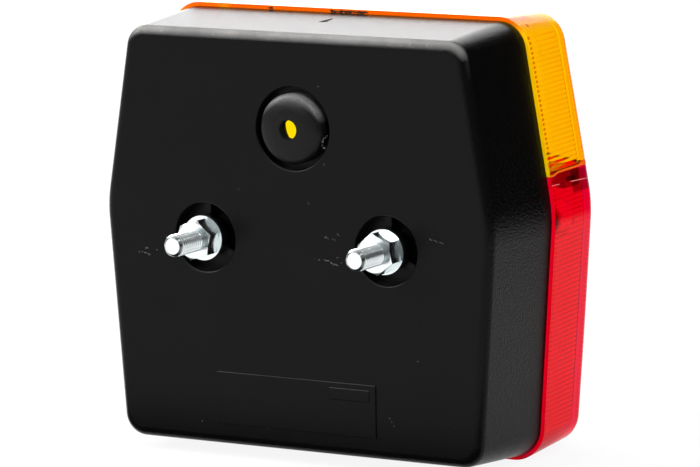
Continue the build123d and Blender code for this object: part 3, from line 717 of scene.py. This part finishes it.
slot_materials = {
    "base_plastic": base_plastic(),
    "amber_plastic": lens_plastic("amber_plastic", **AMBER_LENS),
    "red_plastic": lens_plastic("red_plastic", **RED_LENS),
    "seal_rubber": rubber("seal_rubber", SEAL_LEVEL, SEAL_ROUGH),
    "grommet_rubber": rubber("grommet_rubber", GROMMET_LEVEL, GROMMET_ROUGH, dust_and_sheen=GROMMET_DUST_AND_SHEEN),
    "zinc_steel": metal("zinc_plating", ZINC, ZINC_ROUGH),
    "holder_steel": metal("tinned_steel", TINNED_STEEL, STEEL_ROUGH),
    "contact_brass": metal("brass", BRASS, STEEL_ROUGH),
    "insulator_board": board(),
    "bulb_cap": metal("cap_brass", CAP_BRASS, CAP_ROUGH),
    "bulb_glass": glass(),
    "filament_wire": metal("filament_wire", FILAMENT, FILAMENT_ROUGH),
}
for part in frame["record"]["subparts"]:
    piece = nodes[part["node"]]
    piece.data.materials.clear()
    piece.data.materials.append(slot_materials[part["material_slot"]])


# Pieces that stand for, or sit on, the solids

def add_piece(name, points, faces, slot, material=None):
    """A mesh piece in the lamp's frame, riding on its one body."""
    mesh = bpy.data.meshes.new(name)
    mesh.from_pydata(points, [], faces)
    mesh.shade_smooth()
    mesh.set_sharp_from_angle(angle=SHARP_ANGLE)
    mesh.materials.append(material or slot_materials[slot])
    piece = bpy.data.objects.new(name, mesh)
    bpy.context.scene.collection.objects.link(piece)
    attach(piece, "root")
    return piece


def thread_radius(angle, y):
    """Radius of a right-hand M5 thread at an angle around and a place along its axis."""
    phase = (y / THREAD_PITCH + angle / math.tau) % 1.0
    ramp = abs(2.0 * phase - 1.0)
    flank = (ramp - ROOT_SHARE) / FLANK_SHARE
    return STUD_RADIUS - THREAD_DEPTH * (1.0 - min(max(flank, 0.0), 1.0))


def hexagon_radius(angle):
    """Radius of the bolt head's hexagon at an angle around its axis."""
    turn = (angle + math.pi / 6) % (math.pi / 3) - math.pi / 6
    return HEAD_ACROSS / 2 / math.cos(math.pi / 6 - abs(turn))


def stud_rings():
    """Rings of (place along the axis, radius at each angle), from bolt head to stud's end."""
    angles = [math.tau * k / STUD_SIDES for k in range(STUD_SIDES)]
    low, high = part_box("mounting_studs")[0][1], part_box("mounting_studs")[1][1]
    nut_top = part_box("stud_nuts")[1][1]
    thread_start = nut_top - THREAD_IN_NUT
    head_end = low + HEAD_THICKNESS
    head = [hexagon_radius(a) for a in angles]
    shank = [SHANK_RADIUS] * STUD_SIDES
    rings = [(low, head), (head_end, head), (head_end, shank), (thread_start, shank)]
    steps = round((high - thread_start) / THREAD_STEP)
    for k in range(1, steps + 1):
        y = thread_start + (high - thread_start) * k / steps
        limit = STUD_RADIUS - STUD_CHAMFER + (high - y)
        rings.append((y, [min(thread_radius(a, y), limit) for a in angles]))
    return angles, rings


def add_studs():
    """Threaded studs in place of the plain ones."""
    angles, rings = stud_rings()
    points, faces = [], []
    for x in (-STUD_SPACING / 2, STUD_SPACING / 2):
        first = len(points)
        for y, radii in rings:
            points += [(x + r * math.cos(a), y, r * math.sin(a)) for a, r in zip(angles, radii)]
        for i in range(len(rings) - 1):
            a, b = first + i * STUD_SIDES, first + (i + 1) * STUD_SIDES
            for k in range(STUD_SIDES):
                m = (k + 1) % STUD_SIDES
                faces.append((a + k, b + k, b + m, a + m))
        faces.append(tuple(first + k for k in range(STUD_SIDES)))
        last = first + (len(rings) - 1) * STUD_SIDES
        faces.append(tuple(last + k for k in reversed(range(STUD_SIDES))))
    material = threaded_metal("threaded_zinc", ZINC, THREAD_ROOT_SHADE, THREAD_ROUGH)
    studs = add_piece("threaded_studs", points, faces, "zinc_steel", material)
    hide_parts("mounting_studs")


def add_chip(points, faces, centre, along, half_width, rise):
    """Low closed pyramid on a surface, drawn out along a direction."""
    across = rise.normalized().cross(along).normalized() * half_width
    sunk = centre - CHIP_SINK * rise
    first = len(points)
    corners = (sunk + along, sunk + across, sunk - along, sunk - across, centre + rise)
    points += [tuple(p) for p in corners]
    shell = ((0, 1, 4), (1, 2, 4), (2, 3, 4), (3, 0, 4), (3, 2, 1, 0))
    faces += [tuple(first + k for k in face) for face in shell]


def add_scuffs():
    """Rows of small pale chips where the rear face is scuffed."""
    draw = random.Random(SCUFF_SEED)
    points, faces = [], []
    out = Vector((0, CHIP_RISE, 0))
    for x0, z0, x1, z1, fill in SCUFFS:
        start, end = Vector((x0, 0.0, z0)) * MM, Vector((x1, 0.0, z1)) * MM
        stroke = end - start
        for _ in range(max(2, round(fill * stroke.length / CHIP_STEP * CHIP_CROWDING))):
            centre = start + stroke * draw.random()
            centre += Vector((draw.uniform(-1, 1), 0.0, draw.uniform(-1, 1))) * CHIP_SPREAD
            turn = math.radians(draw.uniform(-CHIP_TURN, CHIP_TURN))
            along = stroke.normalized() * draw.uniform(*CHIP_LENGTH)
            along.rotate(Quaternion((0, 1, 0), turn))
            add_chip(points, faces, centre, along, draw.uniform(*CHIP_WIDTH), out)
    material = mark_material("rubbed_plastic", RUBBED, RUBBED_ROUGH)
    add_piece("scuff_chips", points, faces, "base_plastic", material)


def add_seam_marks():
    """Dark marks along the seam over the top wall, and a dark tick on that wall."""
    draw = random.Random(SEAM_MARK_SEED)
    points, faces = [], []
    for x0, x1, count in SEAM_MARK_RUNS:
        for _ in range(count):
            x = draw.uniform(x1, x0)
            centre = Vector((x, -SEAM, TOP_SEAM + draw.uniform(*SEAM_MARK_HEIGHT))) * MM
            along = Vector((draw.uniform(*SEAM_MARK_LENGTH), 0.0, 0.0)) * MM
            half_width = draw.uniform(*SEAM_MARK_WIDTH) * MM
            add_chip(points, faces, centre, along, half_width, Vector((0, CHIP_RISE, 0)))
    start, end = Vector(TICK_START) * MM, Vector(TICK_END) * MM
    along = (end - start) * TICK_OVERLAP / TICK_CHIPS
    out = along.cross(Vector((1, 0, 0))).normalized()
    out = out if out.z > 0 else -out
    for k in range(TICK_CHIPS):
        centre = start.lerp(end, (k + 0.5) / TICK_CHIPS)
        half_width = (TICK_WIDTH - TICK_TAPER * k) * MM
        add_chip(points, faces, centre, along, half_width, TICK_RISE * out)
    material = mark_material("dark_marks", DARK_MARK, DARK_MARK_ROUGH)
    add_piece("seam_marks", points, faces, "base_plastic", material)


def add_beads(name, runs, half, material):
    """Low beads along the lens's two side walls; each run lists depth, height and swelling."""
    points, faces = [], []
    for side in (-1, 1):
        for run in runs:
            first = len(points)
            for depth, middle, swell in run:
                section = ((-half, -BEAD_SINK), (-BEAD_TOP * half, BEAD_RISE),
                           (BEAD_TOP * half * swell, BEAD_RISE), (half * swell, -BEAD_SINK))
                for height, out in section:
                    z = middle + height
                    lean = (z - KINK_HEIGHT) * UPPER_SLOPE + (depth - SEAM) * LENS_LEAN
                    x = side * (KINK_HALF_WIDTH + LENS_OUT - lean + out)
                    points.append((x * MM, -depth * MM, z * MM))
            rings = [[first + 4 * i + k for k in range(4)] for i in range(len(run))]
            shell = [rings[0][::-1], rings[-1]]
            for a, b in zip(rings, rings[1:]):
                shell += [[a[k], a[(k + 1) % 4], b[(k + 1) % 4], b[k]] for k in range(4)]
            faces += [tuple(face if side > 0 else face[::-1]) for face in shell]
    add_piece(name, points, faces, "red_plastic", material)


def add_plate(name, low, high, ground, height):
    """Bare raised plate on the rear face, with steep walls and a narrow bevel round its top."""
    top = ground + height
    points = []
    for y, inset in ((ground - PLATE_SINK, 0.0), (top - PLATE_BEVEL, 0.0), (top, PLATE_BEVEL)):
        x0, z0, x1, z1 = low[0] + inset, low[1] + inset, high[0] - inset, high[1] - inset
        points += [(x0, y, z0), (x1, y, z0), (x1, y, z1), (x0, y, z1)]
    faces = [(0, 1, 2, 3), (11, 10, 9, 8)]
    for ring in (0, 4):
        for k in range(4):
            m = (k + 1) % 4
            faces.append((ring + k, ring + 4 + k, ring + 4 + m, ring + m))
    add_piece(name, points, faces, "base_plastic")


add_studs()
add_scuffs()
add_seam_marks()
add_beads("lens_joint", JOINT_RUNS, JOINT_HALF,
          mark_material("joint_red", JOINT_RED, BEAD_ROUGH))
add_beads("red_parting_line", PARTING_RUNS, PARTING_HALF,
          mark_material("parting_pink", PARTING_PINK, BEAD_ROUGH))
add_plate("marking_panel", PANEL_LOW, PANEL_HIGH, 0.0, PANEL_HEIGHT)
add_plate("bare_mark_plate", MARK_LOW, MARK_HIGH, PANEL_HEIGHT, MARK_HEIGHT)


# Stage: pale floor, dim room, dark cards and softboxes

def background_rays(tree, reflected):
    """1 where the camera or a clear piece sees the background, and a share in reflections."""
    path = node(tree, "ShaderNodeLightPath").outputs
    return most(tree, path["Is Camera Ray"], path["Is Transmission Ray"],
                product(tree, path["Is Glossy Ray"], reflected))


def blend_shaders(tree, factor, first, second, output):
    """Sends two shaders, mixed by a factor, to a tree's surface output."""
    blend = node(tree, "ShaderNodeMixShader")
    for socket, source in zip(blend.inputs, (factor, first.outputs[0], second.outputs[0])):
        tree.links.new(source, socket)
    tree.links.new(blend.outputs[0], tree.nodes[output].inputs["Surface"])


def add_stage_mesh(name, points, faces, material):
    """A mesh for the stage."""
    mesh = bpy.data.meshes.new(name)
    mesh.from_pydata(points, [], faces)
    mesh.materials.append(material)
    made = bpy.data.objects.new(name, mesh)
    bpy.context.scene.collection.objects.link(made)
    return made


def add_floor():
    """Near-white floor that stays white to the camera and in reflections."""
    material, tree, shader = new_material("floor_white")
    feed(tree, shader, Base_Color=FLOOR_GREY, Roughness=FLOOR_ROUGH)
    glow = node(tree, "ShaderNodeEmission", Strength=1.0)
    seen = product(tree, background_rays(tree, REFLECTED_FLOOR), FLOOR_GLOW)
    blend_shaders(tree, seen, shader, glow, "Material Output")
    z = cad_box[0][2] - FLOOR_DROP
    corners = ((-1, -1), (1, -1), (1, 1), (-1, 1))
    points = [(x * FLOOR_SIZE, y * FLOOR_SIZE, z) for x, y in corners]
    floor = add_stage_mesh("floor", points, [(0, 1, 2, 3)], material)


def add_flag():
    """Dark cards at the lamp's right and under its rear edge, seen only in reflections."""
    low, high = cad_box[0][2], cad_box[0][2] + FLAG_HEIGHT
    turn = (FLAG_END - FLAG_START) / FLAG_STEPS
    angles = [math.radians(FLAG_START + turn * k) for k in range(FLAG_STEPS + 1)]
    points = [(FLAG_RADIUS * math.cos(a), FLAG_RADIUS * math.sin(a), z)
              for a in angles for z in (low, high)]
    faces = [(2 * k, 2 * k + 2, 2 * k + 3, 2 * k + 1) for k in range(FLAG_STEPS)]
    first = len(points)
    points += [(side * CARD_HALF_WIDTH, y, low - CARD_DROP)
               for side, y in ((-1, 0.0), (1, 0.0), (1, CARD_REACH), (-1, CARD_REACH))]
    faces.append((first, first + 1, first + 2, first + 3))
    material, tree, shader = new_material("dark_card")
    feed(tree, shader, Base_Color=CARD_BLACK, Specular_IOR_Level=0.0)
    flag = add_stage_mesh("dark_flag", points, faces, material)
    flag.visible_camera = False
    flag.visible_transmission = False
    flag.visible_diffuse = False
    flag.visible_shadow = False


def add_world():
    """Dim room that is white to the camera and behind clear pieces."""
    world = bpy.data.worlds.new("room")
    bpy.context.scene.world = world
    world.use_nodes = True
    tree = world.node_tree
    room = tree.nodes["Background"]
    feed(tree, room, Color=WHITE, Strength=ROOM_LIGHT)
    white = node(tree, "ShaderNodeBackground", Strength=1.0)
    feed(tree, white, Color=WHITE)
    blend_shaders(tree, background_rays(tree, REFLECTED_ROOM), room, white, "World Output")


def add_softbox(name, at, width, height, power):
    """Softbox aimed at the lamp, and not seen through its clear pieces."""
    light = bpy.data.lights.new(name, "AREA")
    light.shape = "RECTANGLE"
    light.size = width
    light.size_y = height
    light.energy = power
    lamp = bpy.data.objects.new(name, light)
    lamp.location = at
    lamp.rotation_euler = (LAMP_AIM - Vector(at)).to_track_quat("-Z", "Y").to_euler()
    bpy.context.scene.collection.objects.link(lamp)
    lamp.visible_transmission = False


def add_camera():
    """The photo's camera, fitted to the lamp's outline."""
    data = bpy.data.cameras.new("camera")
    data.sensor_width = CAMERA_SENSOR
    data.lens = CAMERA_LENS
    camera = bpy.data.objects.new("camera", data)
    camera.location = CAMERA_PLACE
    camera.rotation_euler = tuple(math.radians(a) for a in CAMERA_TURN)
    bpy.context.scene.collection.objects.link(camera)
    bpy.context.scene.camera = camera


add_floor()
add_flag()
add_world()
for softbox in SOFTBOXES:
    add_softbox(*softbox)
add_camera()
bpy.context.scene.view_settings.view_transform = "Standard"
